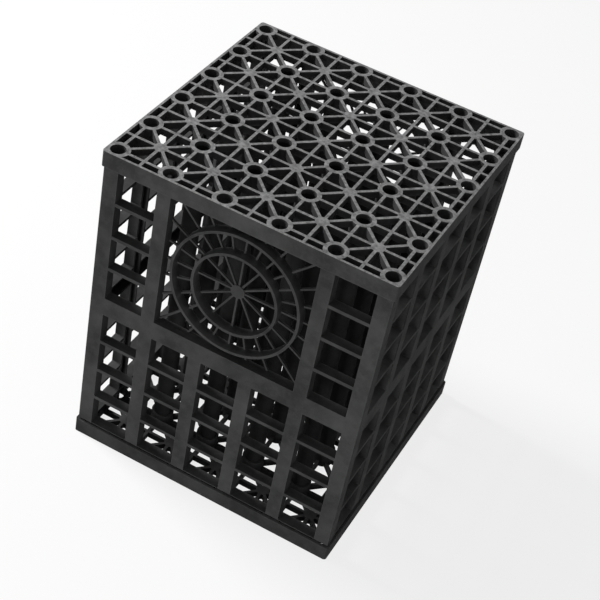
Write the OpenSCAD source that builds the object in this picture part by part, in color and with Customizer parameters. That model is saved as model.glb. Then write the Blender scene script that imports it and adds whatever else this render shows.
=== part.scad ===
// Soakaway crate: a box of open plastic lattice that is buried to hold rainwater.
// Two equal decks stand apart on hollow columns, and four lattice panels plug in between them.
// Both end panels have a round knock-out for a pipe.
// Origin: centre of the footprint, on the ground. The front end panel faces -Y, and Z is up.

/* [Crate] */
// Distance from one cell of the lattice to the next
cell_pitch = 93; // [88:1:100]
// Overall height
crate_h = 600; // [560:10:700]

/* [Decks] */
// Depth of each deck at its rim and its column sockets
deck_h = 28; // [24:1:32]
// Depth of the lattice ribs below a deck's outer face
deck_rib_h = 12; // [8:1:16]
// Distance from the outermost nodes to the deck's edge
rim_reach = 17.5; // [16.5:0.5:20]
// Thickness of the rim wall around a deck
rim_t = 4; // [3:0.5:5]
// Thickness of the straight and diagonal ribs
deck_rib_t = 5; // [4:0.5:7]
// Diameter of the solid star nodes
star_d = 22; // [18:1:26]
// Diameter of the ring nodes
ring_d = 39; // [37:1:42]
// Diameter of the hole in each ring node
ring_bore_d = 25; // [20:1:27]
// Thickness of the deck that is left over a column's socket
socket_roof = 8; // [6:1:10]

/* [Columns] */
// Outside diameter of a column
column_d = 31; // [28:1:33]
// Thickness of a column's wall
column_wall = 3; // [2:0.5:4]

/* [Panels] */
// Thickness of a panel
panel_t = 20; // [18:1:22]
// How far a panel's face stands back from the decks' edges
panel_inset = 4; // [2:0.5:6]
// Width of the posts
post_w = 24; // [18:1:28]
// Height of the rail at mid height
mid_rail_h = 35; // [24:1:40]
// Cells in each half of a bay
rows = 4; // [3:1:5]
// Thickness of the thin ribs between the cells
panel_rib_t = 6; // [4:0.5:8]
// How far the thin ribs and the knock-out's rings stand back from the faces
rib_recess = 1; // [0.5:0.5:4]
// Thickness of the posts' faces and webs
skin_t = 4; // [3:0.5:5]
// Height of the rails along a panel's top and bottom
edge_rail_h = 4; // [4:0.5:8]
// Height of the groove in a panel's face beside each deck
groove_h = 3; // [1:0.5:4]
// Depth of that groove
groove_depth = 2.5; // [1:0.5:3]
// Height of the tongues that plug into the decks
tongue_h = 16; // [8:1:18]

/* [Pipe knock-out] */
// Diameter of the inner ring's middle line, for the smaller pipe
small_ring_d = 147; // [110:1:170]
// Diameter of the outer ring's middle line, for the larger pipe
large_ring_d = 223; // [190:1:230]
// Thickness of the rings
ring_wall_t = 4.5; // [3:0.5:6]
// Number of radial ribs inside the inner ring, with twice as many outside it
spokes = 12; // [8:2:16]
// Thickness of the radial ribs
spoke_t = 3; // [2:0.5:4]
// Depth of the radial ribs, which lie along the panel's back
spoke_depth = 4; // [3:0.5:8]
// Diameter of the hub
hub_d = 24; // [16:1:30]
// Depth of the hub
hub_depth = 6; // [4:0.5:10]

/* [Hidden] */
$fn = 48;
// The end panels' layout needs three bays for the knock-out and one on each side
cells = 5;
// Clearance around plugged pieces, and how far a cut runs past the surface
fit = 0.2;
cut = 1;
// How far the knock-out's ribs run into the frame that holds them
bite = 1;

cell_half = cell_pitch / 2;
node_span = cells * cell_pitch;
deck_w = node_span + 2 * rim_reach;
deck_corner_r = 5;

deck_rib_half = deck_rib_t / 2;
diagonal_gap = deck_rib_half * sqrt(2);
slot_w = rim_reach - deck_rib_half - rim_t;
slot_end = cell_half - deck_rib_half;
// Width of the full-depth strip that a deck keeps behind the panels
seat_land = 2;
pocket_half = deck_w / 2 - panel_inset - panel_t - seat_land;

panel_h = crate_h - 2 * deck_h;
end_panel_half = deck_w / 2 - panel_inset;
side_panel_half = end_panel_half - panel_t - fit;
half_h = (panel_h - mid_rail_h) / 2 - edge_rail_h;
lower_z = edge_rail_h;
mid_z = lower_z + half_h;
upper_z = mid_z + mid_rail_h;
cell_h = (half_h - (rows - 1) * panel_rib_t) / rows;
tongue_start = ring_d / 2 + fit;
tongue_front = max(rim_t + fit - panel_inset, groove_depth);
tongue_back = rim_t + slot_w - fit - panel_inset;

first_knock_bay = (cells - 3) / 2;
last_knock_bay = first_knock_bay + 2;

plastic = "#2e3133";
plastic_lit = "#3a3d40";

column_names = [for (i = [1:cells - 1]) for (j = [1:cells - 1]) str("column_", i, "_", j)];

// Place of grid line i, counted from the low side
function line_at(i) = i * cell_pitch - node_span / 2;

// Sides of bay i in a panel that reaches half_len to each end
function bay_low(i, half_len) = max(line_at(i) + post_w / 2, skin_t - half_len);
function bay_high(i, half_len) = min(line_at(i + 1) - post_w / 2, half_len - skin_t);

// True where post i isn't interrupted by the knock-out
function full_post(i, knock_out) = !knock_out || i <= first_knock_bay || i > last_knock_bay;

module at_grid(from, to, offset) {
    for (i = [from:to])
        for (j = [from:to])
            translate([line_at(i) + offset, line_at(j) + offset, 0])
                children();
}

// One of the eight openings around a star node, beside the rib that runs along +X
module deck_window() {
    near = deck_rib_half + diagonal_gap;
    far = cell_half - deck_rib_half;
    translate([0, 0, -cut])
        linear_extrude(height = deck_h + 2 * cut)
            difference() {
                polygon([[near, deck_rib_half], [far, deck_rib_half], [far, far - diagonal_gap]]);
                circle(d = star_d);
                translate([cell_half, cell_half])
                    circle(d = ring_d);
            }
}

module deck_cell() {
    for (turn = [0:3])
        rotate(90 * turn)
            for (side = [0, 1])
                mirror([0, side, 0])
                    deck_window();
}

// Repeats children along a deck's side, with x from each ring node towards the middle of a cell beside it
module at_slots() {
    for (i = [0:cells])
        for (side = [0, 1])
            if (i + 1 - 2 * side >= 0 && i + 1 - 2 * side <= cells)
                translate([line_at(i), 0, 0])
                    mirror([side, 0, 0])
                        children();
}

// Slot between the outermost line of nodes and the rim, on the -Y side
module rim_slot() {
    translate([0, 0, -cut])
        linear_extrude(height = deck_h + 2 * cut)
            difference() {
                translate([0, rim_t - deck_w / 2])
                    square([slot_end, slot_w]);
                translate([0, line_at(0)])
                    circle(d = ring_d);
            }
}

// Hollow below the ribs, around the bosses that hold the columns
module deck_pocket() {
    translate([0, 0, -cut])
        linear_extrude(height = deck_h - deck_rib_h + cut)
            difference() {
                square(2 * pocket_half, center = true);
                at_grid(1, cells - 1, 0)
                    circle(d = ring_d);
            }
}

// Cuts the deck's upright corner on the +X +Y side to a round edge
module corner_cut() {
    reach = deck_w / 2 - deck_corner_r;
    translate([reach, reach, -cut])
        difference() {
            cube([deck_corner_r + cut, deck_corner_r + cut, deck_h + 2 * cut]);
            translate([0, 0, -cut])
                cylinder(r = deck_corner_r, h = deck_h + 4 * cut);
        }
}

// Lattice deck with its outer face up and its sockets below
module deck() {
    difference() {
        translate([-deck_w / 2, -deck_w / 2, 0])
            cube([deck_w, deck_w, deck_h]);
        at_grid(0, cells - 1, cell_half)
            deck_cell();
        for (turn = [0:3])
            rotate(90 * turn) {
                at_slots()
                    rim_slot();
                corner_cut();
            }
        deck_pocket();
        at_grid(0, cells, 0)
            translate([0, 0, -cut])
                cylinder(d = ring_bore_d, h = deck_h + 2 * cut);
        at_grid(1, cells - 1, 0)
            translate([0, 0, -cut])
                cylinder(d = column_d + 2 * fit, h = deck_h - socket_roof + cut);
    }
}

// Open cells of one half of a bay, and the steps that set its thin ribs back from both faces
module bay_cut(low, high, z) {
    for (r = [0:rows - 1])
        translate([low, -cut, z + r * (cell_h + panel_rib_t)])
            cube([high - low, panel_t + 2 * cut, cell_h]);
    for (y = [-cut, panel_t - rib_recess])
        translate([low, y, z])
            cube([high - low, rib_recess + cut, half_h]);
}

// Hollow behind the mid rail's face
module mid_rail_cut(low, high) {
    translate([low, skin_t, mid_z + skin_t])
        cube([high - low, panel_t, mid_rail_h - 2 * skin_t]);
}

// Hollow behind a post's face, open to the inside of the crate
module post_hollow(low, high, z_high) {
    translate([low + skin_t, skin_t, lower_z])
        cube([high - low - 2 * skin_t, panel_t, z_high - lower_z]);
}

module knock_ring(mean_d) {
    difference() {
        circle(d = mean_d + ring_wall_t, $fn = 96);
        circle(d = mean_d - ring_wall_t, $fn = 96);
    }
}

module radial_lines(count, reach) {
    for (k = [0:count / 2 - 1])
        rotate(k * 360 / count)
            square([2 * reach, spoke_t], center = true);
}

// Radial ribs of the knock-out, clipped to the window that holds them
module knock_out_ribs(window_w) {
    radial_lines(spokes, small_ring_d / 2);
    intersection() {
        square([window_w + 2 * bite, half_h + 2 * bite], center = true);
        difference() {
            radial_lines(2 * spokes, window_w);
            circle(d = small_ring_d, $fn = 96);
        }
    }
}

// The knock-out about its own centre, with the pipe's axis along Y and its back at y = 0
module knock_out(window_w) {
    rotate([90, 0, 0]) {
        linear_extrude(height = spoke_depth)
            knock_out_ribs(window_w);
        linear_extrude(height = panel_t - rib_recess) {
            knock_ring(large_ring_d);
            knock_ring(small_ring_d);
        }
        cylinder(d = hub_d, h = hub_depth);
    }
}

// Wall panel along X, with its outer face at y = 0 and its lower edge at z = 0
module panel(half_len, knock_out, end_posts) {
    window_low = bay_low(first_knock_bay, half_len);
    window_w = bay_high(last_knock_bay, half_len) - window_low;
    difference() {
        union() {
            translate([-half_len, 0, 0])
                cube([2 * half_len, panel_t, panel_h]);
            at_slots()
                translate([tongue_start, tongue_front, -tongue_h])
                    cube([
                        slot_end - fit - tongue_start,
                        tongue_back - tongue_front,
                        panel_h + 2 * tongue_h
                    ]);
        }
        for (i = [0:cells - 1]) {
            bay_cut(bay_low(i, half_len), bay_high(i, half_len), lower_z);
            mid_rail_cut(bay_low(i, half_len), bay_high(i, half_len));
            if (!knock_out || i < first_knock_bay || i > last_knock_bay)
                bay_cut(bay_low(i, half_len), bay_high(i, half_len), upper_z);
        }
        for (i = [1:cells - 1])
            post_hollow(
                line_at(i) - post_w / 2,
                line_at(i) + post_w / 2,
                full_post(i, knock_out) ? upper_z + half_h : mid_z
            );
        if (end_posts)
            for (turn = [0, 1])
                mirror([turn, 0, 0])
                    post_hollow(bay_high(cells - 1, half_len), half_len, upper_z + half_h);
        if (knock_out)
            translate([window_low, -cut, upper_z])
                cube([window_w, panel_t + 2 * cut, half_h]);
        for (z = [-cut, panel_h - groove_h])
            translate([-half_len - cut, -cut, z])
                cube([2 * (half_len + cut), groove_depth + cut, groove_h + cut]);
    }
    if (knock_out)
        translate([0, panel_t, upper_z + half_h / 2])
            knock_out(window_w);
}

module end_panel() {
    translate([0, panel_inset - deck_w / 2, deck_h])
        panel(end_panel_half, true, true);
}

module side_panel() {
    translate([0, panel_inset - deck_w / 2, deck_h])
        panel(side_panel_half, false, false);
}

module top_deck() {
    color(plastic_lit)
        translate([0, 0, crate_h - deck_h])
            deck();
}

module base_deck() {
    color(plastic)
        translate([0, 0, deck_h])
            mirror([0, 0, 1])
                deck();
}

module front_panel() {
    color(plastic)
        end_panel();
}

module rear_panel() {
    color(plastic)
        rotate(180)
            end_panel();
}

module right_panel() {
    color(plastic)
        rotate(90)
            side_panel();
}

module left_panel() {
    color(plastic)
        rotate(-90)
            side_panel();
}

// Hollow column between the sockets of both decks, at inner grid lines i and j
module column(i, j) {
    color(plastic)
        translate([line_at(i), line_at(j), socket_roof])
            difference() {
                cylinder(d = column_d, h = crate_h - 2 * socket_roof);
                translate([0, 0, -cut])
                    cylinder(d = column_d - 2 * column_wall, h = crate_h);
            }
}

top_deck();
base_deck();
front_panel();
rear_panel();
left_panel();
right_panel();
for (i = [1:cells - 1])
    for (j = [1:cells - 1])
        column(i, j);
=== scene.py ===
"""Looks of the soakaway crate: dull black moulded plastic on a white studio floor."""

import math
from collections import namedtuple

import bpy
from mathutils import Matrix, Vector

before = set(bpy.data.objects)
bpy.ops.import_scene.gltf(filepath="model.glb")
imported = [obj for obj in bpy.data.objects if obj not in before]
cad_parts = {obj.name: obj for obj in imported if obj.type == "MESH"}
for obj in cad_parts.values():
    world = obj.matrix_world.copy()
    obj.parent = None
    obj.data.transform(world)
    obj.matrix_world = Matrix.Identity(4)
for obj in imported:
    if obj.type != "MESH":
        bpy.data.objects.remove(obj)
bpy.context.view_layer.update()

# Camera, at the photograph's viewpoint: metres, degrees and millimetres of lens
CAMERA_AT = Vector((0.689, -1.857, 1.927))
CAMERA_AIM = Vector((0.018, 0.0, 0.277))
CAMERA_ROLL = 12.4
CAMERA_LENS = 90.6
CAMERA_SENSOR = 36.0

# Floor: metres, linear greys for the camera and for bounced light, and the share of plain white
FLOOR_SIZE = 40.0
FLOOR_SEEN = 0.8
FLOOR_BOUNCE = 0.4
FLOOR_WHITE = 0.8

# Studio lamps: name, place, size in metres and power in watts, each aimed at the crate's middle
LAMPS = [
    ("key_above", (-2.9, 0.15, 3.3), 1.2, 196.0),
    ("fill_front", (0.3, -3.6, 0.42), 1.2, 63.0),
]
LAMP_AIM = Vector((0.0, 0.0, 0.35))

# World: linear greys, as light from all round and as the background that meets the far floor
WORLD_TONE = 0.224
WORLD_SEEN = 0.84

# Plastic: linear greys, then streaks and rubbed edges as shares of the pale grey; the rubbed edges are wear
# and partly a painted highlight, and the dust grey also paints upward faces lighter
PLASTIC_DARK = 0.034
PLASTIC_PALE = 0.066
DUST_AND_TOP_LIGHT = 0.39
STREAK_SHARE = 1.5
RUB_AND_HIGHLIGHT_SHARE = 1.6
SPECULAR = 0.08
# Share of the plain tone and amount of dust, by piece. The top deck's larger share and its dust also paint
# its top lighter, and the low shares of the base deck and the columns are painted shade inside the crate
PLASTICS = {"top_deck": (1.05, 0.8), "base_deck": (0.76, 0.04), "panel": (1.0, 0.0), "column": (0.36, 0.0)}

# Noise layers of the plastic: scale per metre, detail, roughness, the band of the noise and what it maps to
Layer = namedtuple("Layer", "scale detail roughness low high to_low to_high")
MOTTLE = Layer(14.0, 5.0, 0.55, 0.35, 0.68, 0.0, 1.0)
STREAKS = Layer(60.0, 6.0, 0.7, 0.45, 0.75, 0.0, 0.35)
WEAR = Layer(35.0, 4.0, 0.55, 0.3, 0.7, 0.1, 0.6)
SPECKLE = Layer(120.0, 6.0, 0.7, 0.35, 0.75, 0.15, 1.0)
DULLNESS = Layer(24.0, 5.0, 0.55, 0.3, 0.7, 0.78, 0.92)
DUST_DULLS = 0.08

# Bumps of the plastic: noise scale per metre, detail and roughness, strength, and depth in metres
Bump = namedtuple("Bump", "scale detail roughness strength depth")
GRAIN = Bump(900.0, 3.0, 0.55, 0.12, 0.0004)
WAVES = Bump(30.0, 2.0, 0.55, 0.10, 0.002)

# Where an edge counts as rubbed and gets its painted highlight: reach in metres, and cosines of the turn
# from none to full
RUB_AND_HIGHLIGHT_REACH = 0.0025
RUB_AND_HIGHLIGHT_SAMPLES = 4
RUB_AND_HIGHLIGHT_NONE, RUB_AND_HIGHLIGHT_FULL = 0.995, 0.90
# Where dust lies and upward faces are painted lighter: upward part of the face's normal, from none to full
UPWARD_NONE, UPWARD_FULL = 0.6, 0.95

# Rounding of the sharp edges: metres, steps and the least angle
EDGE_RADIUS = 0.0009
EDGE_STEPS = 2
EDGE_ANGLE = math.radians(35)
WELD_REACH = 0.00002

# Colour sockets of Blender's Mix node, which share their names with its number sockets
MIX_FIRST, MIX_SECOND, MIX_RESULT = 6, 7, 2


def grey(tone):
    return (tone, tone, tone, 1.0)


def node(tree, kind, **values):
    """Add a shader node, with its settings and its unlinked inputs by name."""
    made = tree.nodes.new(kind)
    for key, value in values.items():
        if key in made.inputs:
            made.inputs[key].default_value = value
        else:
            setattr(made, key, value)
    return made


def noise(tree, place, look):
    """Noise with the scale, detail and roughness of a Layer or a Bump."""
    made = node(tree, "ShaderNodeTexNoise", Scale=look.scale, Detail=look.detail, Roughness=look.roughness)
    tree.links.new(place, made.inputs["Vector"])
    return made.outputs["Fac"]


def ramp(tree, value, low, high, to_low=0.0, to_high=1.0):
    """Map a value from low..high to to_low..to_high, held at the ends."""
    made = tree.nodes.new("ShaderNodeMapRange")
    made.inputs["From Min"].default_value = low
    made.inputs["From Max"].default_value = high
    made.inputs["To Min"].default_value = to_low
    made.inputs["To Max"].default_value = to_high
    tree.links.new(value, made.inputs["Value"])
    return made.outputs["Result"]


def layer(tree, place, look):
    return ramp(tree, noise(tree, place, look), look.low, look.high, look.to_low, look.to_high)


def math_node(tree, operation, first, second):
    """Join two values, each a number or a socket."""
    made = node(tree, "ShaderNodeMath", operation=operation)
    for socket, value in zip(made.inputs, (first, second)):
        if isinstance(value, float):
            socket.default_value = value
        else:
            tree.links.new(value, socket)
    return made.outputs["Value"]


def mix_colour(tree, factor, first, second):
    """Mix two colours, each a tuple or a socket."""
    made = node(tree, "ShaderNodeMix", data_type="RGBA")
    tree.links.new(factor, made.inputs["Factor"])
    for index, value in ((MIX_FIRST, first), (MIX_SECOND, second)):
        if isinstance(value, tuple):
            made.inputs[index].default_value = value
        else:
            tree.links.new(value, made.inputs[index])
    return made.outputs[MIX_RESULT]


def rubbed_and_highlit(tree, facing):
    """Value that is 1 along sharp edges and 0 on the faces between them, for pale worn edges that are
    partly a painted highlight.
    """
    rounded = node(tree, "ShaderNodeBevel", samples=RUB_AND_HIGHLIGHT_SAMPLES, Radius=RUB_AND_HIGHLIGHT_REACH)
    turn = node(tree, "ShaderNodeVectorMath", operation="DOT_PRODUCT")
    tree.links.new(rounded.outputs["Normal"], turn.inputs[0])
    tree.links.new(facing, turn.inputs[1])
    return ramp(tree, turn.outputs["Value"], RUB_AND_HIGHLIGHT_NONE, RUB_AND_HIGHLIGHT_FULL)


def upward(tree, facing):
    """Value that is 1 on faces that dust can lie on, which the dust also paints lighter as if lit from
    above.
    """
    parts = node(tree, "ShaderNodeSeparateXYZ")
    tree.links.new(facing, parts.inputs["Vector"])
    return ramp(tree, parts.outputs["Z"], UPWARD_NONE, UPWARD_FULL)


def bumped(tree, place, look, under=None):
    """Normal of a bump, laid over the normal of another one."""
    made = node(tree, "ShaderNodeBump", Strength=look.strength, Distance=look.depth)
    tree.links.new(noise(tree, place, look), made.inputs["Height"])
    if under is not None:
        tree.links.new(under, made.inputs["Normal"])
    return made.outputs["Normal"]


def moulded_plastic(name, tone_and_shade, dust_and_top_light):
    """Dull moulded polypropylene: mottled tone, flow marks, pale rubbed edges that are partly a painted
    highlight, and dust on upward faces that also paints them lighter; the tone share lightens the top deck
    as a painted lit top and darkens the base deck and the columns as painted shade.
    """
    made = bpy.data.materials.new(name)
    made.use_nodes = True
    tree = made.node_tree
    shader = tree.nodes["Principled BSDF"]
    place = tree.nodes.new("ShaderNodeTexCoord").outputs["Object"]
    facing = tree.nodes.new("ShaderNodeNewGeometry").outputs["Normal"]

    mottle = layer(tree, place, MOTTLE)
    # Tone share: painted shade darkens the base deck and the columns, and a painted lit top lightens the
    # top deck
    base = mix_colour(tree, mottle, grey(PLASTIC_DARK * tone_and_shade), grey(PLASTIC_PALE * tone_and_shade))
    base = mix_colour(tree, layer(tree, place, STREAKS), base, grey(PLASTIC_PALE * STREAK_SHARE * tone_and_shade))
    # Pale rubbed edges: wear, and partly a painted highlight along the sharp edges
    rub_and_highlight = math_node(tree, "MULTIPLY", rubbed_and_highlit(tree, facing), layer(tree, place, WEAR))
    base = mix_colour(tree, rub_and_highlight, base, grey(PLASTIC_PALE * RUB_AND_HIGHLIGHT_SHARE * tone_and_shade))
    # Dust on upward faces, which also paints them lighter as if lit from above
    dust_and_lit_top = math_node(tree, "MULTIPLY", upward(tree, facing), layer(tree, place, SPECKLE))
    dust_and_lit_top = math_node(tree, "MULTIPLY", dust_and_lit_top, dust_and_top_light)
    base = mix_colour(tree, dust_and_lit_top, base, grey(DUST_AND_TOP_LIGHT))
    tree.links.new(base, shader.inputs["Base Color"])

    dusty = math_node(tree, "MULTIPLY", dust_and_lit_top, DUST_DULLS)
    dull = math_node(tree, "ADD", layer(tree, place, DULLNESS), dusty)
    tree.links.new(dull, shader.inputs["Roughness"])
    shader.inputs["Specular IOR Level"].default_value = SPECULAR

    grain = bumped(tree, place, GRAIN)
    tree.links.new(bumped(tree, place, WAVES, grain), shader.inputs["Normal"])
    return made


def soften_edges(piece):
    """Round the moulding's sharp edges by a hair, so that they catch the light."""
    weld = piece.modifiers.new("weld", "WELD")
    weld.merge_threshold = WELD_REACH
    bevel = piece.modifiers.new("soft_edges", "BEVEL")
    bevel.width = EDGE_RADIUS
    bevel.segments = EDGE_STEPS
    bevel.limit_method = "ANGLE"
    bevel.angle_limit = EDGE_ANGLE
    bevel.use_clamp_overlap = True
    bevel.harden_normals = False


def plastic_of(name):
    """Which of the plastics a node has: a deck its own, and the panels and the columns one each."""
    if name in PLASTICS:
        return name
    return "panel" if name.endswith("panel") else "column"


def dress():
    """Give every node its plastic: dusty and painted lighter on the top deck, clean on the panels, darker
    with painted shade on the base deck and darkest with painted shade on the columns.
    """
    looks = {name: moulded_plastic(name + "_looks", tone_and_shade, dust_and_top_light) for name, (tone_and_shade, dust_and_top_light) in PLASTICS.items()}
    for name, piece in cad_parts.items():
        kind = plastic_of(name)
        for place in piece.material_slots:
            place.material = looks[kind]
        if kind != "column":
            soften_edges(piece)


def seen_directly(tree, lit, seen):
    """Shader that is seen to the camera, to mirrors and through glass, and lit to all other rays."""
    ray = tree.nodes.new("ShaderNodeLightPath").outputs
    direct = math_node(tree, "MAXIMUM", ray["Is Camera Ray"], ray["Is Glossy Ray"])
    direct = math_node(tree, "MAXIMUM", direct, ray["Is Transmission Ray"])
    mixed = tree.nodes.new("ShaderNodeMixShader")
    tree.links.new(direct, mixed.inputs["Fac"])
    tree.links.new(lit.outputs[0], mixed.inputs[1])
    tree.links.new(seen.outputs[0], mixed.inputs[2])
    return mixed.outputs[0]


def floor():
    """White floor that keeps the crate's soft shadow."""
    half = FLOOR_SIZE / 2
    corners = [(-half, -half, 0), (half, -half, 0), (half, half, 0), (-half, half, 0)]
    mesh = bpy.data.meshes.new("floor")
    mesh.from_pydata(corners, [], [(0, 1, 2, 3)])
    piece = bpy.data.objects.new("floor", mesh)
    bpy.context.scene.collection.objects.link(piece)
    made = bpy.data.materials.new("floor_paper")
    made.use_nodes = True
    tree = made.node_tree
    tree.nodes.clear()
    seen = node(tree, "ShaderNodeBsdfDiffuse", Color=grey(FLOOR_SEEN))
    bounce = node(tree, "ShaderNodeBsdfDiffuse", Color=grey(FLOOR_BOUNCE))
    white = node(tree, "ShaderNodeEmission", Color=grey(1.0), Strength=1.0)
    pale = node(tree, "ShaderNodeMixShader", Fac=FLOOR_WHITE)
    tree.links.new(seen.outputs[0], pale.inputs[1])
    tree.links.new(white.outputs[0], pale.inputs[2])
    out = tree.nodes.new("ShaderNodeOutputMaterial")
    tree.links.new(seen_directly(tree, bounce, pale), out.inputs["Surface"])
    mesh.materials.append(made)


def aimed(place, target, roll=0.0):
    """Matrix of a lamp or camera at place that looks at target, rolled about its own axis by degrees."""
    turn = (target - place).to_track_quat("-Z", "Y").to_matrix().to_4x4()
    return Matrix.Translation(place) @ turn @ Matrix.Rotation(math.radians(roll), 4, "Z")


def light():
    """Soft round lamps: a key from above on the left and a low fill from the front."""
    for name, place, size, power in LAMPS:
        lamp = bpy.data.lights.new(name, "AREA")
        lamp.shape = "DISK"
        lamp.size = size
        lamp.energy = power
        piece = bpy.data.objects.new(name, lamp)
        piece.matrix_world = aimed(Vector(place), LAMP_AIM)
        bpy.context.scene.collection.objects.link(piece)


def surroundings():
    """Dim light from all round, in front of a white background."""
    world = bpy.data.worlds.new("studio")
    world.use_nodes = True
    tree = world.node_tree
    tree.nodes.clear()
    dim = node(tree, "ShaderNodeBackground", Color=grey(WORLD_TONE), Strength=1.0)
    white = node(tree, "ShaderNodeBackground", Color=grey(WORLD_SEEN), Strength=1.0)
    out = tree.nodes.new("ShaderNodeOutputWorld")
    tree.links.new(seen_directly(tree, dim, white), out.inputs["Surface"])
    bpy.context.scene.world = world


def camera():
    data = bpy.data.cameras.new("camera")
    data.sensor_width = CAMERA_SENSOR
    data.lens = CAMERA_LENS
    piece = bpy.data.objects.new("camera", data)
    piece.matrix_world = aimed(CAMERA_AT, CAMERA_AIM, CAMERA_ROLL)
    bpy.context.scene.collection.objects.link(piece)
    bpy.context.scene.camera = piece


dress()
floor()
light()
surroundings()
camera()
bpy.context.scene.view_settings.view_transform = "Standard"
